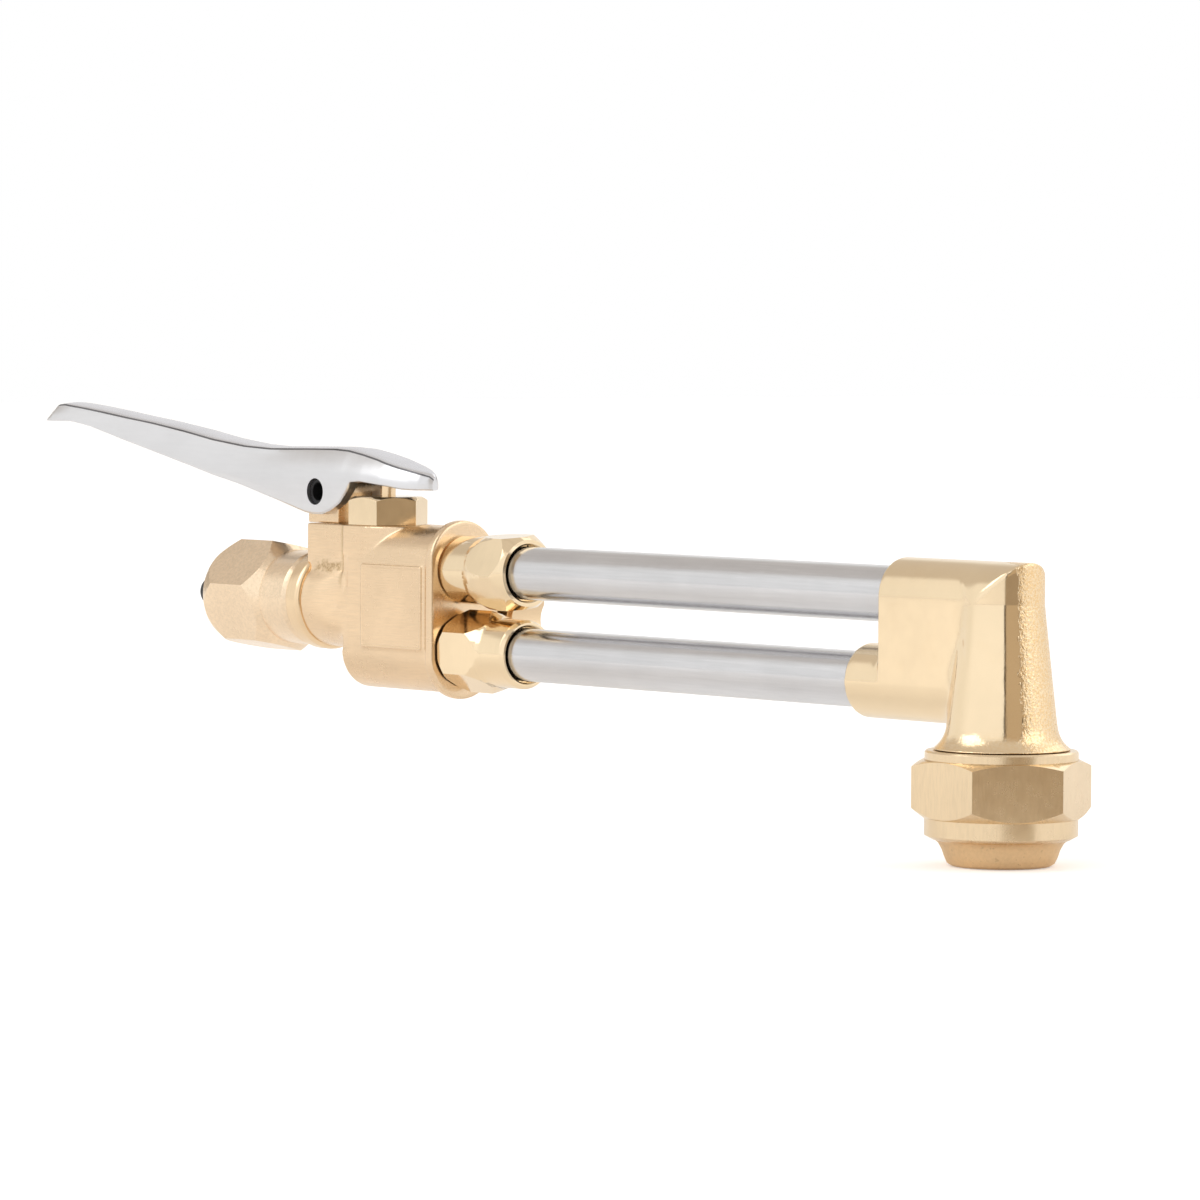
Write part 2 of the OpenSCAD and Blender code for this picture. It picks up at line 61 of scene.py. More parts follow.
# Cutting attachment. Every node keeps its place, and the detailed pieces built here stand for
# the ones that show.
# ---------------------------------------------------------------- places on the object
# Meshes are built in millimetres and scaled at the end. Shaders and the stage use metres.
MOUNTS = {mount["name"]: mount for mount in record["mounts"]}
JOINTS = {joint["name"]: joint for joint in record["behaviour"]["joints"]}
TIP_X = MOUNTS["tip_hole"]["pos_m"][0] / MM
PIN_X, _, PIN_Z = (v / MM for v in JOINTS["lever_hinge"]["pos_m"])
PIN_HOLE_R = 2.45
NUT_MOUTH_R = MOUNTS["coupling_thread"]["dims"]["r_mm"]
UPPER_Z = 6.8                   # the upper tube's axis, and its bar on the head
LOWER_Z = -7.8
BAR_R = 6.3
NECK_R = 8.7
BLOCK_X = 40.4                  # the block's back
BLOCK_SIDE = 7.05               # just inside the block's flat sides
BLOCK_TOP = 14.3
STUD_X = 32.6                   # the lever post's stud
VALVE_X = 45.2
VALVE_CLEAR_R = 4.9             # just outside the valve's bore
PAD_X = (46.6, 64.4)
PAD_Z = (-7.9, 7.4)

# ---------------------------------------------------------------- camera, in metres
CAMERA_AT = Vector((0.92033, -0.68425, 0.05314))
AZIMUTH = math.radians(49.967)
ELEVATION = math.radians(2.709)
ROLL = math.radians(-0.273)
LENS_MM = 181.42
SENSOR_MM = 36


def make_camera():
    forward = Vector((-math.sin(AZIMUTH) * math.cos(ELEVATION),
                      math.cos(AZIMUTH) * math.cos(ELEVATION), -math.sin(ELEVATION)))
    right = Vector((math.cos(AZIMUTH), math.sin(AZIMUTH), 0))
    up = right.cross(forward)
    rolled_right = right * math.cos(ROLL) - up * math.sin(ROLL)
    rolled_up = right * math.sin(ROLL) + up * math.cos(ROLL)
    turn = Matrix((rolled_right, rolled_up, -forward)).transposed().to_4x4()
    data = bpy.data.cameras.new("camera")
    data.lens = LENS_MM
    data.sensor_width = SENSOR_MM
    data.clip_start = 0.05
    data.clip_end = 20
    camera = bpy.data.objects.new("camera", data)
    camera.matrix_world = Matrix.Translation(CAMERA_AT) @ turn
    scene.collection.objects.link(camera)
    scene.camera = camera


make_camera()


# ---------------------------------------------------------------- node helpers
class Tree:
    """Short names for the nodes that every material here is made of."""

    def __init__(self, tree):
        self.tree = tree

    def add(self, kind, **inputs):
        """A new node. Its inputs are given by name, with _ for a space."""
        node = self.tree.nodes.new(kind)
        for key, value in inputs.items():
            self.put(node, key.replace("_", " "), value)
        return node

    def put(self, node, key, value):
        """Links or sets one input, given by its name or its number."""
        socket = node.inputs[int(key)] if key.isdigit() else node.inputs[key]
        if isinstance(value, bpy.types.NodeSocket):
            self.tree.links.new(value, socket)
        else:
            socket.default_value = value

    def math(self, operation, *values):
        node = self.add("ShaderNodeMath")
        node.operation = operation
        for i, value in enumerate(values):
            self.put(node, str(i), value)
        return node.outputs[0]

    def times(self, a, b):
        return self.math("MULTIPLY", a, b)

    def either(self, a, b):
        return self.math("MAXIMUM", a, b)

    def axes(self):
        """X, Y and Z of the shaded point, in metres."""
        coords = self.add("ShaderNodeTexCoord")
        return self.add("ShaderNodeSeparateXYZ", Vector=coords.outputs["Object"]).outputs

    def place(self, scale):
        coords = self.add("ShaderNodeTexCoord")
        mapping = self.add("ShaderNodeMapping", Vector=coords.outputs["Object"])
        mapping.inputs["Scale"].default_value = scale
        return mapping.outputs[0]

    def noise(self, scale, detail=3.0, roughness=0.55):
        node = self.add("ShaderNodeTexNoise", Vector=self.place(scale), Scale=1.0,
                        Detail=detail, Roughness=roughness)
        return node.outputs["Fac"]

    def ramp(self, value, low, high, to_low=0.0, to_high=1.0):
        node = self.add("ShaderNodeMapRange", Value=value)
        node.interpolation_type = "SMOOTHSTEP"
        for key, number in (("From Min", low), ("From Max", high), ("To Min", to_low),
                            ("To Max", to_high)):
            node.inputs[key].default_value = number
        return node.outputs[0]

    def between(self, value, rise, fall):
        """1 from the end of rise to the start of fall, each a pair of values."""
        return self.times(self.ramp(value, *rise), self.ramp(value, *fall, 1, 0))

    def mix(self, factor, a, b):
        node = self.tree.nodes.new("ShaderNodeMix")
        node.data_type = "RGBA"
        self.put(node, "0", factor)
        for index, value in ((6, a), (7, b)):
            if isinstance(value, bpy.types.NodeSocket):
                self.tree.links.new(value, node.inputs[index])
            else:
                node.inputs[index].default_value = (*value[:3], 1)
        return node.outputs[2]


def shade(color, factor):
    return tuple(c * factor for c in color)


def feeding(shader, key):
    """The socket that now feeds the shader's input of that name."""
    return shader.inputs[key].links[0].from_socket


# ---------------------------------------------------------------- materials
def new_material(name):
    material = bpy.data.materials.new(name)
    material.use_nodes = True
    return material


def opened(material):
    """The material's node tree and its main shader."""
    return Tree(material.node_tree), material.node_tree.nodes["Principled BSDF"]


def metal(name, color, rough, grain, bump, tarnish=0.93, pits=0.0, metallic=1.0, lines=0.05):
    """Metal with fine tool lines along the short side of grain, soft stains and small pits."""
    material = new_material(name)
    tree, bsdf = opened(material)
    bsdf.inputs["Metallic"].default_value = metallic
    stains = tree.noise((75, 75, 75), 3.0)
    fine = tree.noise(grain, 2.0, 0.5)
    tone = tree.mix(tree.ramp(stains, 0.32, 0.7), shade(color, tarnish), color)
    streak = tree.times(tree.ramp(fine, 0.3, 0.75), lines)
    tone = tree.mix(streak, tone, shade(color, 0.55))
    height = fine
    if pits:
        pitted = tree.ramp(tree.noise((1500, 1500, 1500), 2.0, 0.6), 0.62, 0.72)
        tone = tree.mix(tree.times(pitted, 0.4 * pits), tone, shade(color, 0.45))
        height = tree.math("SUBTRACT", fine, tree.times(pitted, pits))
    tree.put(bsdf, "Base Color", tone)
    spread = 0.025
    uneven = tree.ramp(tree.noise((420, 420, 420), 3.0), 0.3, 0.7, -spread, spread)
    stained = tree.ramp(stains, 0.3, 0.7, rough * 1.06, rough * 0.96)
    tree.put(bsdf, "Roughness", tree.math("ADD", uneven, stained))
    relief = tree.add("ShaderNodeBump", Height=height, Strength=bump, Distance=0.00004)
    tree.put(bsdf, "Normal", relief.outputs[0])
    return material


def grainy_brass(name, color, rough, grain):
    """Polished casting: mirror-like, with an orange-peel skin where the tool didn't reach."""
    material = metal(name, color, rough, grain, 0.05, tarnish=0.95, lines=0.02)
    tree, bsdf = opened(material)
    x, y, z = tree.axes()
    around = tree.math("ARCTAN2", y, tree.math("SUBTRACT", x, TIP_X * MM))
    ragged = tree.times(tree.ramp(tree.noise((900, 900, 500), 2.0), 0.3, 0.7), 0.12)
    around = tree.math("ADD", around, ragged)
    front = tree.between(around, (-0.36, -0.3), (1.6, 2.0))
    foot = tree.times(tree.ramp(z, -0.0165, -0.0135, 1.0, 0.0), tree.ramp(x, 0.196, 0.2))
    patches = tree.ramp(tree.noise((160, 160, 160), 3.0), 0.5, 0.62)
    where = tree.either(front, tree.times(foot, 0.4))
    where = tree.either(where, tree.times(patches, 0.06))
    peel = tree.noise((1700, 1700, 1700), 2.0, 0.6)
    relief = tree.add("ShaderNodeBump", Height=tree.times(peel, where), Strength=0.8,
                      Distance=0.00016)
    tree.put(relief, "Normal", feeding(bsdf, "Normal"))
    tree.put(bsdf, "Normal", relief.outputs[0])
    dots = tree.ramp(tree.noise((190, 190, 190), 1.0), 0.735, 0.76)
    tone = tree.mix(tree.times(dots, 0.7), feeding(bsdf, "Base Color"), (0.62, 0.24, 0.06))
    speck = tree.ramp(tree.noise((2600, 2600, 2600), 2.0, 0.7), 0.42, 0.6, 0.12, 0.6)
    tree.put(bsdf, "Base Color", tree.mix(tree.times(where, speck), tone, (0.8, 0.5, 0.2)))
    tree.put(bsdf, "Roughness",
             tree.math("ADD", feeding(bsdf, "Roughness"), tree.times(where, 0.14)))
    return material


def cast_skin_brass(name, base):
    """The body's brass, with a brown band under the boss, partly casting skin and partly painted
    shade, and painted shade in the boss's corner.
    """
    material = base.copy()
    material.name = name
    tree, bsdf = opened(material)
    x, _, z = tree.axes()
    ragged = tree.ramp(tree.noise((700, 700, 700), 3.0), 0.3, 0.7, -0.0006, 0.0006)
    level = tree.math("ADD", z, ragged)
    # Brown band under the boss: partly the casting's skin, partly painted shade under its overhang.
    patch = tree.times(tree.between(level, (0.0050, 0.0062), (0.0066, 0.0076)),
                       tree.between(x, (0.031, 0.033), (0.0385, 0.0405)))
    grains = tree.ramp(tree.noise((2400, 2400, 2400), 2.0, 0.7), 0.35, 0.6, 0.25, 0.8)
    # Painted shade: a dark line with soft shade on its left, in the corner where the boss meets the
    # block.
    across = tree.math("ADD", x, tree.times(ragged, 0.2))
    corner = tree.times(tree.ramp(across, 0.0390, 0.0402, 0.0, 0.75),
                        tree.ramp(across, 0.0402, 0.0405, 1, 0))
    corner = tree.times(corner, tree.ramp(level, 0.002, 0.006))
    factor = tree.either(tree.times(patch, grains), tree.times(corner, 0.8))
    tone = tree.mix(factor, feeding(bsdf, "Base Color"), (0.42, 0.28, 0.13))
    tree.put(bsdf, "Base Color", tone)
    return material


def dull(name, color, rough):
    """Rubber or moulded plastic with a faint mottle and a moulded skin."""
    material = new_material(name)
    tree, bsdf = opened(material)
    mottle = tree.ramp(tree.noise((500, 500, 500), 3.0), 0.35, 0.7)
    tree.put(bsdf, "Base Color", tree.mix(mottle, shade(color, 0.7), shade(color, 1.35)))
    tree.put(bsdf, "Roughness", tree.ramp(mottle, 0, 1, rough - 0.07, rough + 0.07))
    skin = tree.noise((3000, 3000, 3000), 2.0)
    relief = tree.add("ShaderNodeBump", Height=skin, Strength=0.2, Distance=0.00003)
    tree.put(bsdf, "Normal", relief.outputs[0])
    return material


PEACH = (0.87, 0.66, 0.44)
GOLD = (0.9, 0.725, 0.49)
PALE = (0.87, 0.69, 0.46)
MATERIALS = {
    "cast_brass": metal("cast_brass", PEACH, 0.25, (300, 1200, 5200), 0.12, tarnish=0.92, pits=0.1,
                        lines=0.16),
    "machined_brass": metal("machined_brass", (0.9, 0.69, 0.45), 0.2, (5200, 160, 160), 0.2,
                            lines=0.12),
    "bright_brass": metal("bright_brass", GOLD, 0.12, (4200, 200, 200), 0.08, lines=0.05),
    "rough_brass": metal("rough_brass", PALE, 0.25, (3600, 3600, 420), 0.2, pits=0.12, lines=0.16),
    "steel_tube": metal("steel_tube", (0.68, 0.68, 0.695), 0.2, (90, 2600, 2600), 0.05,
                        tarnish=0.95, lines=0.12),
    "lever_metal": metal("lever_metal", (0.72, 0.72, 0.735), 0.32, (160, 1500, 1500), 0.04,
                         tarnish=0.96, lines=0.05),
    "black_steel": metal("black_steel", (0.022, 0.022, 0.024), 0.42, (800, 800, 800), 0.4,
                         metallic=0.6),
    "bright_steel": metal("bright_steel", (0.66, 0.66, 0.67), 0.16, (900, 900, 2500), 0.1),
    "rubber": dull("rubber", (0.022, 0.022, 0.023), 0.62),
    "black_nose": dull("black_nose", (0.02, 0.02, 0.022), 0.5),
}
HEAD_BRASS = grainy_brass("head_brass", GOLD, 0.11, (420, 420, 420))
NOSE_BRASS = metal("nose_brass", (0.85, 0.62, 0.37), 0.45, (1900, 1900, 1900), 0.9, tarnish=0.88,
                   pits=0.8, lines=0.15)
BODY_BRASS = cast_skin_brass("body_brass", MATERIALS["cast_brass"])
NUT_BRASS = metal("nut_brass", (0.94, 0.745, 0.53), 0.24, (1700, 1700, 1700), 0.5, tarnish=0.92,
                  pits=0.2, lines=0.22)
# Painted reflection: a thin dark line along the lever's crease, standing in for a dark thing
# mirrored there.
LEVER_PAINTED_DARK_LINE = metal("lever_painted_dark_line", (0.2, 0.2, 0.21), 0.4, (160, 1500, 1500), 0.04, tarnish=0.6)
# Painted light: a lighter copy of the lever's metal, with its own reflection tint, for the top
# strip.
LEVER_TOP_PAINTED_LIGHT = metal("lever_top", (0.76, 0.76, 0.785), 0.26, (160, 1500, 1500), 0.04, tarnish=0.94)
opened(LEVER_TOP_PAINTED_LIGHT)[1].inputs["Specular Tint"].default_value = (0.88, 0.88, 0.9, 1)
SLOT_OF = {part["node"]: part["material_slot"] for part in record["subparts"]}
BODY_OF = {n: b for b, ns in record["behaviour"]["bodies"].items() for n in ns}

for name, obj in nodes.items():
    obj.data.materials.clear()
    obj.data.materials.append(MATERIALS[SLOT_OF[name]])


# ---------------------------------------------------------------- mesh helpers
SKIN_VOXEL = 0.24               # spacing of a remeshed skin, in millimetres
SMOOTHING_ROUNDS = 3
FILLS_PER_NORMALS = 8           # steps of filling before the skin's normals are taken again


def new_object(name, mesh, body, slot, stands_for=(), material=None):
    """A piece that rides on a body, with its slot's material unless another is given."""
    obj = bpy.data.objects.new(name, mesh)
    scene.collection.objects.link(obj)
    mesh.materials.clear()
    mesh.materials.append(material or MATERIALS[slot])
    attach(obj, body)
    if stands_for:
        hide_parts(*stands_for)
    return obj


def welded(node):
    """The node's mesh as a bmesh in millimetres, welded, with its flats made whole again."""
    bm = bmesh.new()
    bm.from_mesh(nodes[node].data)
    bmesh.ops.scale(bm, vec=(1 / MM, 1 / MM, 1 / MM), verts=bm.verts)
    bmesh.ops.remove_doubles(bm, verts=bm.verts, dist=0.002)
    bmesh.ops.dissolve_limit(bm, angle_limit=math.radians(0.4), verts=bm.verts, edges=bm.edges)
    return bm


def loft(bm, rings):
    """Adds a closed solid that runs from each ring of points to the next."""
    faces = [bm.faces.new(rings[0][::-1]), bm.faces.new(rings[-1])]
    for a, b in zip(rings, rings[1:]):
        for i in range(len(a)):
            j = (i + 1) % len(a)
            faces.append(bm.faces.new((a[i], a[j], b[j], b[i])))
    bmesh.ops.recalc_face_normals(bm, faces=faces)
    return faces


def mesh_from(bm, name, sharp=32, scale=MM):
    """Turns the bmesh into a mesh and frees it, with edges sharper than that angle kept hard."""
    bmesh.ops.scale(bm, vec=(scale, scale, scale), verts=bm.verts)
    mesh = bpy.data.meshes.new(name)
    bm.to_mesh(mesh)
    bm.free()
    mesh.polygons.foreach_set("use_smooth", [True] * len(mesh.polygons))
    mesh.set_sharp_from_angle(angle=math.radians(sharp))
    return mesh


def bevelled(node, width, edit=None):
    """A copy of the node that stands for it, with its hard edges broken as filed edges are."""
    bm = welded(node)
    if edit:
        edit(bm)
    name = node + "_detailed"
    obj = new_object(name, mesh_from(bm, name), BODY_OF[node], SLOT_OF[node], (node,))
    bevel = obj.modifiers.new("edges", "BEVEL")
    bevel.width = width * MM
    bevel.segments = 2
    bevel.limit_method = "ANGLE"
    bevel.angle_limit = math.radians(28)
    bevel.miter_outer = "MITER_ARC"
    bevel.use_clamp_overlap = True
    normals = obj.modifiers.new("normals", "WEIGHTED_NORMAL")
    normals.keep_sharp = True
    return obj


def remeshed(node, add_to=None):
    """An evenly spaced closed skin of the node and of what add_to adds, in millimetres."""
    bm = welded(node)
    if add_to:
        add_to(bm)
    mesh = mesh_from(bm, "work", scale=1)
    obj = bpy.data.objects.new("work", mesh)
    scene.collection.objects.link(obj)
    remesh = obj.modifiers.new("skin", "REMESH")
    remesh.mode = "VOXEL"
    remesh.voxel_size = SKIN_VOXEL
    graph = bpy.context.evaluated_depsgraph_get()
    skin = bpy.data.meshes.new_from_object(obj.evaluated_get(graph))
    bpy.data.objects.remove(obj)
    return skin


def neighbour_mean(points, edges, degree):
    """For each point, the mean of the points that its edges lead to."""
    total = np.zeros_like(points)
    for axis in range(3):
        total[:, axis] = (np.bincount(edges[:, 0], points[edges[:, 1], axis], len(points))
                          + np.bincount(edges[:, 1], points[edges[:, 0], axis], len(points)))
    return total / degree[:, None]


def point_normals(mesh, points):
    mesh.vertices.foreach_set("co", points.ravel())
    mesh.update()
    normals = np.zeros(len(points) * 3)
    mesh.vertex_normals.foreach_get("vector", normals)
    return normals.reshape(-1, 3)


def filleted(mesh, reshape, fill_at, fills):
    """Reshapes a skin, fills its inside corners where fill_at says so, and softens its edges."""
    count = len(mesh.vertices)
    points = np.zeros(count * 3)
    mesh.vertices.foreach_get("co", points)
    points = points.reshape(-1, 3)
    edges = np.zeros(len(mesh.edges) * 2, np.int32)
    mesh.edges.foreach_get("vertices", edges)
    edges = edges.reshape(-1, 2)
    degree = np.maximum(np.bincount(edges.ravel(), minlength=count), 1).astype(float)
    reshape(points)
    for _ in range(SMOOTHING_ROUNDS):
        points += 0.5 * (neighbour_mean(points, edges, degree) - points)
    weight = fill_at(points)
    for i in range(fills):
        if i % FILLS_PER_NORMALS == 0:
            normals = point_normals(mesh, points)
        pull = neighbour_mean(points, edges, degree) - points
        outward = np.clip((pull * normals).sum(1), 0, None) * weight
        points += 0.9 * outward[:, None] * normals
    for _ in range(SMOOTHING_ROUNDS):
        points += 0.4 * (neighbour_mean(points, edges, degree) - points)
    mesh.vertices.foreach_set("co", (points * MM).ravel())
    mesh.update()
    mesh.polygons.foreach_set("use_smooth", [True] * len(mesh.polygons))
    return mesh


def soft_step(values, low, high):
    """0 below low and 1 above high, with a smooth rise between them."""
    t = np.clip((values - low) / (high - low), 0, 1)
    return t * t * (3 - 2 * t)


def soft_excess(values, limit, softness):
    """How far each value is over the limit, turning smoothly from 0."""
    over = values - limit
    return (over + np.sqrt(over ** 2 + softness)) / 2


# ---------------------------------------------------------------- body casting
def reshape_body(p):
    """The neck flattens into the block, and the boss steps in from its face."""
    x, y, z = p.T
    wide = np.abs(y)
    on_neck = (x > 31) & (x < 42) & (np.abs(z) < NECK_R - 0.1)
    limit = NECK_R + 0.2 - 1.75 * soft_step(x, 31.5, BLOCK_X - 0.2)
    wide = np.where(on_neck, wide - soft_excess(wide, limit, 0.3), wide)
    behind_block = 1 - soft_step(x, BLOCK_X - 0.3, BLOCK_X + 0.3)
    boss = behind_block * soft_step(z, 4.5, 6.5) * soft_step(wide, 4, 6)
    wide = wide * (1 - 0.055 * boss * (x > 28))
    p[:, 1] = np.sign(y) * wide


def add_shoulders(bm):
    """Fills the block out to its full width under the valve cap nut, clear of the valve's bore."""
    outer = [(54.5, 0), (54.5, 2.6), (53, 4.4), (51, 5.8), (49, 6.7), (47, BLOCK_SIDE),
             (BLOCK_X + 0.2, BLOCK_SIDE)]
    around_bore = [(VALVE_X + VALVE_CLEAR_R * math.cos(a), VALVE_CLEAR_R * math.sin(a))
                   for a in np.linspace(2.8, 0, 15)]
    for side in (-1, 1):
        loft(bm, [[bm.verts.new((x, side * y, z)) for x, y in outer + around_bore]
                  for z in (7, BLOCK_TOP - 0.02)])


def body_corners(p):
    """Where the body has cast fillets: round the block's back and the boss's foot."""
    x, y, z = p.T
    near_block = soft_step(x, 35, 38.5) * (1 - soft_step(x, 43, 45)) * (z < 3)
    boss_foot = (1 - soft_step(x, 39, 40)) * soft_step(x, 29.95, 30.6) * (z < 9)
    outside = (np.abs(y) > 5.9) | (z < 3)
    stud = ((x - STUD_X) ** 2 + y ** 2 < 3.6 ** 2) & (z > 8)
    bore = (y ** 2 + z ** 2 < 7.2 ** 2) & (x < 40)
    return np.where(outside & ~bore & ~stud, np.maximum(near_block, boss_foot), 0.0)


body_mesh = filleted(remeshed("body", add_shoulders), reshape_body, body_corners, 130)
new_object("body_casting", body_mesh, "torch_body", "cast_brass", ("body",), BODY_BRASS)


def reshape_head(p):
    """The column's top swells out of the bar gradually, without a step."""
    x, y, z = p.T
    grow = np.maximum(soft_step(x, 202, 208.5), 1 - soft_step(z, -5, 5))
    wide = np.abs(y)
    low = (z <= UPPER_Z) & (z > -6) & (x > 199) & (wide > BAR_R)
    wide = np.where(low, BAR_R + (wide - BAR_R) * grow, wide)
    r = np.hypot(y, z - UPPER_Z)
    high = (z > UPPER_Z) & (x > 199) & (r > BAR_R)
    ratio = np.where(high, (BAR_R + (r - BAR_R) * grow) / np.maximum(r, 1), 1.0)
    p[:, 1] = np.sign(y) * wide * ratio
    p[:, 2] = np.where(high, UPPER_Z + (z - UPPER_Z) * ratio, z)


def head_corners(p):
    """Where the head has cast fillets: the notch between the bars, and the column's sides."""
    x, y, z = p.T
    notch = (x < 187) & (np.abs(z - (UPPER_Z + LOWER_Z) / 2) < 5.2)
    under = (z < -12) & (z > -17.45) & (x > 195)
    side = soft_step(x, 196.5, 199.5) * (1 - soft_step(x, 204.5, 206.5)) * (z > -16)
    side = side * (1 - soft_step(z, -8, -1)) * soft_step(np.abs(y), 4, 5)
    bore = ((x - TIP_X) ** 2 + y ** 2 < 6.7 ** 2) & (z < -13)
    sockets = (y ** 2 + (z - UPPER_Z) ** 2 < 5.2 ** 2) | (y ** 2 + (z - LOWER_Z) ** 2 < 5.2 ** 2)
    wanted = np.maximum((notch | under) * 1.0, side)
    return np.where(~bore & ~(sockets & (x < 196)), wanted, 0.0)


head_mesh = filleted(remeshed("head"), reshape_head, head_corners, 60)
new_object("head_casting", head_mesh, "torch_body", "bright_brass", ("head",), HEAD_BRASS)


# ---------------------------------------------------------------- lever
def curve(points):
    """A measure along the lever, given at some places and running straight between them."""
    xs, ys = zip(*points)
    return lambda x: float(np.interp(x, xs, ys))


LEVER_BACK = -60.9
LEVER_FRONT = 59
HOLLOW_X = (-43, 55)
# Along X: the heights of the top and the bottom, the half-widths at the bottom and at the crease,
# how far the side flares below the crease, and the hollow's ceiling and half-width.
TOP = curve([(-60.9, 31.8), (-60.6, 32.3), (-59.7, 33.1), (-57.9, 34.4), (-55.8, 35.2),
             (-53, 35.4), (-46.3, 34.8), (-39.8, 34.1), (-32.2, 33.2), (-23.7, 32.3),
             (-13, 30.9), (-3.9, 29.5), (6.1, 28.45), (14.1, 28.1), (20.8, 28.2), (26, 28.3),
             (33.9, 28.4), (38.2, 28.2), (42.5, 27.55), (46.7, 26.75), (50.5, 25.8), (54.2, 25),
             (57, 24.3), (58.4, 23.85), (59, 23.25)])
BOTTOM = curve([(-60.9, 31.6), (-59, 31.65), (-49.5, 31.7), (-43.2, 30.8), (-32.6, 28.5),
                (-18.5, 25.6), (-2.6, 22.3), (6.2, 20.8), (13, 19.35), (19.7, 17.95),
                (27.5, 16.2), (30, 15.9), (32.7, 15.95), (35.3, 16.7), (37.9, 18.1),
                (40, 20.35), (41.1, 21.96), (43.9, 22.15), (50.9, 21.45), (53.8, 21),
                (56, 20.9), (59, 20.9)])
HALF = curve([(-60.9, 0.25), (-60.6, 1.5), (-60.3, 2.2), (-59.5, 3.2), (-58.5, 3.9), (-56, 4.4),
              (-54, 4.6), (-10, 4.75), (2, 5.0), (14, 5.55), (27, 6.05), (31, 6.1), (36, 6.1),
              (44, 5.8), (49, 5.3), (52.5, 4.5), (55, 3.5), (57, 2.4), (58.4, 1.2), (59, 0.5)])
CREASE = curve([(-60.9, 0.15), (-60.3, 1.2), (-58, 2.3), (-55, 3.1), (-51, 3.6), (44, 3.6),
                (49, 3.6), (52.5, 3.2), (55, 2.5), (57, 1.6), (58.4, 0.7), (59, 0.25)])
REACH = curve([(-60.9, 0.5), (-58, 2), (-43.2, 3.3), (-32.6, 4.3), (-18.5, 5), (-2.6, 5.5),
               (20, 5.8), (34, 5.6), (40, 5), (44, 4.2), (50.5, 3.2), (55, 2.8), (59, 1)])
CEILING = curve([(-43, 30), (-41, 32.2), (-16, 29.7), (2.4, 27.2), (17, 26), (38, 26),
                 (44, 25.5), (48.5, 24.75), (53, 22.9), (55, 20.5)])
HOLLOW = curve([(-43, 2.9), (-41, 3.1), (10, 3.5), (25, 4.4), (41, 4.4), (53, 2.4), (55, 2)])


def lever_section(x):
    """Half an outline, from the crown over the crease and the side to the hollow's middle."""
    top, bottom, half = TOP(x), BOTTOM(x), HALF(x)
    crease = min(CREASE(x), half * 0.85)
    deep = max(top - bottom, 0.1)
    crown = min(0.35, 0.2 * deep)
    edge = top - crown
    fall = deep - crown
    points = [(0, top), (crease * 0.35, top - crown * 0.1), (crease * 0.7, top - crown * 0.38),
              (crease * 0.93, top - crown * 0.75), (crease, edge),
              (crease + min(0.26, 0.2 * (half - crease)), edge - min(0.28, 0.25 * fall))]
    reach = min(REACH(x), 0.96 * fall)
    flare = 1.25 + 0.55 * soft_step(np.array(x), 5, 25)
    for t in (0.1, 0.2, 0.32, 0.46, 0.62, 0.78, 0.92):
        bow = 1 - (1 - min(1, fall * t / reach)) ** flare
        points.append((crease + (half - crease) * max(bow, 0.1), edge - fall * t))
    points.append((half - min(0.12, half * 0.1), bottom + 0.03 * fall))
    points.append((half - min(0.4, half * 0.3), bottom))
    is_hollow = HOLLOW_X[0] < x < HOLLOW_X[1]
    ceiling = max(CEILING(x), bottom) if is_hollow else bottom
    inner = min(HOLLOW(x), half * 0.62)
    rise = ceiling - bottom
    points += [(inner + min(0.15, 0.1 * half), bottom), (inner, bottom + 0.12 * rise),
               (inner * 0.97, bottom + 0.75 * rise), (inner * 0.85, bottom + 0.97 * rise),
               (inner * 0.4, ceiling)]
    return points + [(0, ceiling)]


CREASE_POINT = 4                # its place in a section's list
LEVER_SHARP = 20                # degrees over which an edge stays hard


def lever_stations():
    """The places of the sections along X, closest where the outline turns most."""
    steps = [(LEVER_BACK, -58, 14), (-58, -50, 12), (-50, 10, 44), (10, 36, 30), (36, 46, 28),
             (46, 53.4, 14), (53.4, LEVER_FRONT, 28)]
    xs = [a + (b - a) * i / n for a, b, n in steps for i in range(n)]
    return xs + [LEVER_FRONT]


def loft_lever():
    """The lever's mesh, with 0, 1 and 2 as the material index of side, crease (a painted dark
    reflection line) and top (painted lighter).
    """
    bm = bmesh.new()
    rings = []
    for x in lever_stations():
        half = lever_section(x)
        outline = half + [(-y, z) for y, z in half[-2:0:-1]]
        rings.append([bm.verts.new((x, y, z)) for y, z in outline])
    around = len(rings[0])
    for k, face in enumerate(loft(bm, rings)[2:]):
        from_crown = min(k % around, around - 1 - k % around)
        if from_crown < CREASE_POINT:
            face.material_index = 2
        elif from_crown == CREASE_POINT:
            face.material_index = 1
    return mesh_from(bm, "lever_shell", sharp=LEVER_SHARP)


def cut_pin_hole(shell):
    bm = bmesh.new()
    at_pin = Matrix.Translation((PIN_X, 0, PIN_Z)) @ Matrix.Rotation(math.pi / 2, 4, "X")
    bmesh.ops.create_cone(bm, cap_ends=True, segments=64, radius1=PIN_HOLE_R,
                          radius2=PIN_HOLE_R, depth=20, matrix=at_pin)
    cutter = bpy.data.objects.new("cutter", mesh_from(bm, "cutter"))
    scene.collection.objects.link(cutter)
    hole = shell.modifiers.new("pin_hole", "BOOLEAN")
    hole.object = cutter
    hole.solver = "EXACT"
    graph = bpy.context.evaluated_depsgraph_get()
    cut = bpy.data.meshes.new_from_object(shell.evaluated_get(graph))
    shell.modifiers.clear()
    shell.data = cut
    cut.set_sharp_from_angle(angle=math.radians(LEVER_SHARP))
    bpy.data.objects.remove(cutter)


def build_lever():
    mesh = loft_lever()
    zones = [face.material_index for face in mesh.polygons]
    shell = new_object("lever_shell", mesh, "lever", "lever_metal", ("lever",))
    mesh.materials.append(LEVER_PAINTED_DARK_LINE)
    mesh.materials.append(LEVER_TOP_PAINTED_LIGHT)
    mesh.polygons.foreach_set("material_index", zones)
    cut_pin_hole(shell)


build_lever()


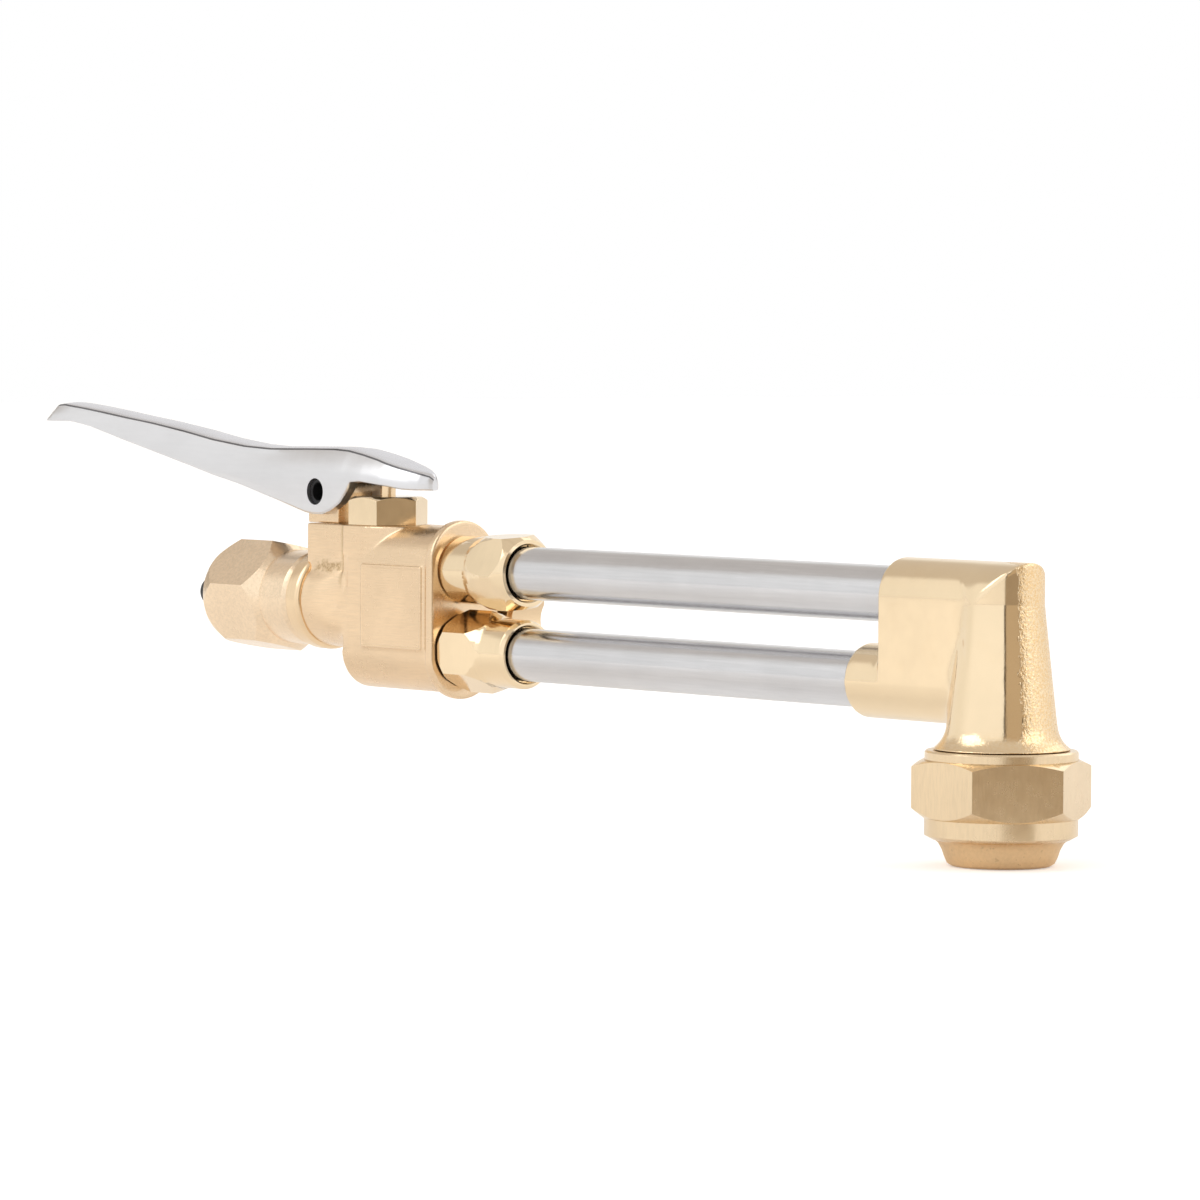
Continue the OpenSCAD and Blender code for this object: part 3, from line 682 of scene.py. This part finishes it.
def build_web():
    """The plate across the lever's hollow that lifts the stem, with a slot open at its back."""
    back, front, half = 42.3, 49.5, 4.55
    slot_end, slot_half = 47.5, 1.7
    outline = [(front, -half), (front, half), (back, half), (back, slot_half)]
    outline += [(slot_end - slot_half * (1 - math.sin(a)), slot_half * math.cos(a))
                for a in np.linspace(0, math.pi, 13)]
    outline += [(back, -slot_half), (back, -half)]
    bm = bmesh.new()
    loft(bm, [[bm.verts.new((x, y, z)) for x, y in outline] for z in (22.3, 23.4)])
    mesh = mesh_from(bm, "lever_web_plate")
    web = new_object("lever_web_plate", mesh, "lever", "lever_metal")
    bevel = web.modifiers.new("edges", "BEVEL")
    bevel.width = 0.12 * MM
    bevel.segments = 2


build_web()


# ---------------------------------------------------------------- pads on the block
def pad_loop(bm, side, inset, y):
    """The pad's outline with round corners, drawn in by inset, at y from the middle."""
    r = max(0.5 - inset, 0.12)
    x0, x1 = PAD_X[0] + inset + r, PAD_X[1] - inset - r
    z0, z1 = PAD_Z[0] + inset + r, PAD_Z[1] - inset - r
    loop = []
    for x, z, start in ((x1, z1, 0), (x0, z1, 90), (x0, z0, 180), (x1, z0, 270)):
        for step in range(5):
            a = math.radians(start + 22.5 * step)
            loop.append(bm.verts.new((x + r * math.cos(a), side * y, z + r * math.sin(a))))
    return loop


def build_pad(name, side):
    """Plain raised panel with a fine rim."""
    rim = [(0, BLOCK_SIDE), (0.03, 7.42), (0.16, 7.55), (0.44, 7.55), (0.6, 7.4), (0.9, 7.38)]
    bm = bmesh.new()
    loft(bm, [pad_loop(bm, side, inset, y) for inset, y in rim])
    new_object(name, mesh_from(bm, name, sharp=50), "torch_body", "cast_brass")


build_pad("pad_near", -1)
build_pad("pad_far", 1)


# ---------------------------------------------------------------- coupling nut
THREAD_ROOT_R = 7.9


def open_coupling_bore(bm):
    """Widens the nut's mouth to the root of its thread."""
    for vert in bm.verts:
        r = math.hypot(vert.co.y, vert.co.z)
        if abs(r - NUT_MOUTH_R) < 0.05 and vert.co.x < 9.6:
            vert.co.y *= THREAD_ROOT_R / r
            vert.co.z *= THREAD_ROOT_R / r


def build_coupling_thread():
    """Helical ridge in the coupling nut's mouth, which fades in and out over half a turn."""
    start, end, pitch = 1.1, 8.9, 1.3
    turn_steps = 48
    steps = int((end - start) / pitch * turn_steps)
    root = THREAD_ROOT_R + 0.03
    bm = bmesh.new()
    rings = []
    for i in range(steps + 1):
        a = 2 * math.pi * i / turn_steps
        x = start + (end - start) * i / steps
        fade = min(1, i / (turn_steps / 2), (steps - i) / (turn_steps / 2))
        crest = root + (NUT_MOUTH_R - root) * fade
        profile = ((-0.42, root), (-0.1, crest), (0.1, crest), (0.42, root))
        rings.append([bm.verts.new((x + dx * pitch, r * math.sin(a), -r * math.cos(a)))
                      for dx, r in profile])
    loft(bm, rings)
    new_object("coupling_nut_thread", mesh_from(bm, "coupling_nut_thread"), "coupling_nut",
               "machined_brass")


coupling_nut = bevelled("coupling_nut", 0.18, edit=open_coupling_bore)
coupling_nut.data.materials[0] = NUT_BRASS
build_coupling_thread()

# ---------------------------------------------------------------- turned and milled pieces
for node, width in (("retaining_ring", 0.25), ("valve_cap_nut", 0.12), ("lever_post", 0.4),
                    ("lever_pin", 0.12), ("stem_button", 0.08), ("valve_stem", 0.08),
                    ("upper_tube_nut", 0.14), ("lower_tube_nut", 0.14), ("tail_cone", 0.12),
                    ("tail_nose", 0.2), ("preheat_gland_nut", 0.14), ("preheat_knob", 0.35),
                    ("knob_screw", 0.12), ("upper_tube", 0.05), ("lower_tube", 0.05)):
    bevelled(node, width)

NOSE_Z = -32.2 * MM             # the rough cast nose starts below this
tip_nut = bevelled("tip_nut", 0.16)
tip_nut.data.materials.append(NOSE_BRASS)
for face in tip_nut.data.polygons:
    if face.center.z < NOSE_Z and face.normal.z < 0.9:
        face.material_index = 1


# ---------------------------------------------------------------- floor
def floor_paint():
    """Plain pale paint. Reflections see it darker near the object and in a sector beyond it:
    painted shade from a brown card.
    """
    material = new_material("floor_paint")
    tree, bsdf = opened(material)
    bsdf.inputs["Roughness"].default_value = 0.9
    bsdf.inputs["Specular IOR Level"].default_value = 0.1
    bsdf.inputs["Emission Color"].default_value = (1, 1, 1, 1)
    faint = tree.ramp(tree.noise((9, 9, 9), 2.0), 0.3, 0.7)
    tree.put(bsdf, "Base Color", tree.mix(faint, (0.93, 0.93, 0.93), (0.94, 0.94, 0.94)))
    is_camera_ray = tree.add("ShaderNodeLightPath").outputs["Is Camera Ray"]
    tree.put(bsdf, "Emission Strength", tree.ramp(is_camera_ray, 0, 1, 0.12, 0.3))
    x, y, _ = tree.axes()
    away = tree.math("SUBTRACT", x, 0.19)
    heading = tree.math("ARCTAN2", y, away)
    # Painted shade, for reflections only: a dark sector beyond the object and a faint darkening
    # close around it.
    sector = tree.times(tree.between(heading, (-0.68, -0.62), (0.03, 0.09)),
                        tree.ramp(away, 0.05, 0.09))
    distance_squared = tree.math("ADD", tree.times(away, away), tree.times(y, y))
    shaded = tree.either(sector, tree.ramp(distance_squared, 0.03, 0.16, 0.1, 0))
    painted_shadow_card = tree.add("ShaderNodeBsdfDiffuse", Color=(0.42, 0.35, 0.27, 1))
    blend = tree.add("ShaderNodeMixShader")
    tree.put(blend, "0", tree.times(shaded, tree.math("SUBTRACT", 1.0, is_camera_ray)))
    tree.put(blend, "1", bsdf.outputs[0])
    tree.put(blend, "2", painted_shadow_card.outputs[0])
    tree.put(material.node_tree.nodes["Material Output"], "Surface", blend.outputs[0])
    return material


def build_floor():
    half = 4.0
    gap = 0.0001
    z = cad_box[0][2] - gap
    mesh = bpy.data.meshes.new("floor")
    corners = [(-half, -half, z), (half, -half, z), (half, half, z), (-half, half, z)]
    mesh.from_pydata(corners, [], [(0, 1, 2, 3)])
    mesh.materials.append(floor_paint())
    floor = bpy.data.objects.new("floor", mesh)
    scene.collection.objects.link(floor)


build_floor()


# ---------------------------------------------------------------- light
class Sky(Tree):
    """The studio's walls, as tones by azimuth and height for reflections to pick up."""

    def __init__(self, tree):
        super().__init__(tree)
        where = self.add("ShaderNodeTexCoord").outputs["Generated"]
        x, y, self.height = self.add("ShaderNodeSeparateXYZ", Vector=where).outputs
        self.azimuth = self.math("ARCTAN2", y, x)

    def band(self, low_deg, high_deg, soft_deg):
        """1 between two azimuths, with soft edges."""
        low, high, soft = (math.radians(v) for v in (low_deg, high_deg, soft_deg))
        return self.between(self.azimuth, (low - soft, low + soft), (high - soft, high + soft))

    def outside(self, rise, fall):
        """1 beyond the end of rise and before the start of fall, in radians of azimuth."""
        return self.either(self.ramp(self.azimuth, *rise), self.ramp(self.azimuth, *fall, 1, 0))


def build_world():
    """White walls, dimmer in places, for reflections, and a plain white backdrop for the camera."""
    world = bpy.data.worlds.new("studio")
    scene.world = world
    world.use_nodes = True
    sky = Sky(world.node_tree)
    behind = sky.outside((2.4, 2.65), (-2.75, -2.6))
    patches = {
        "gap in front": (sky.band(-37, 4, 2.0), (0.56, 0.455, 0.335)),
        "edges of the gap": (sky.either(sky.band(-40, -35, 1.0), sky.band(1, 6, 1.0)),
                             (0.09, 0.075, 0.06)),
        "far side": (sky.outside((1.0, 1.6), (-2.6, -2.0)), (0.95, 0.94, 0.92)),
        "strip behind": (sky.band(162, 177, 3.0), (0.42, 0.36, 0.29)),
        "ceiling": (sky.ramp(sky.height, 0.6, 0.9), (0.72, 0.68, 0.64)),
        "high up behind": (sky.times(behind, sky.ramp(sky.height, 0.3, 0.46)),
                           (0.66, 0.615, 0.57)),
    }
    color = (1.06, 1.06, 1.06)
    for where, tone in patches.values():
        color = sky.mix(where, color, tone)
    walls = world.node_tree.nodes["Background"]
    sky.put(walls, "Color", color)
    walls.inputs["Strength"].default_value = 1.05
    backdrop = sky.add("ShaderNodeBackground", Color=(1, 1, 1, 1), Strength=1.0)
    chooser = sky.add("ShaderNodeMixShader")
    sky.put(chooser, "0", sky.add("ShaderNodeLightPath").outputs["Is Camera Ray"])
    sky.put(chooser, "1", walls.outputs[0])
    sky.put(chooser, "2", backdrop.outputs[0])
    sky.put(world.node_tree.nodes["World Output"], "Surface", chooser.outputs[0])


def area_light(name, at, target, power):
    data = bpy.data.lights.new(name, "AREA")
    data.energy = power
    data.size = 0.9
    light = bpy.data.objects.new(name, data)
    light.location = at
    light.rotation_euler = (Vector(target) - Vector(at)).to_track_quat("-Z", "Y").to_euler()
    scene.collection.objects.link(light)


build_world()
area_light("key", (-0.3, -0.9, 0.9), (0.08, 0, 0), 3)
area_light("fill", (1.1, 0.5, 0.7), (0.15, 0, 0), 1.8)
area_light("back", (0.0, 1.0, 0.9), (0.1, 0, 0), 1.5)
scene.view_settings.view_transform = "Standard"
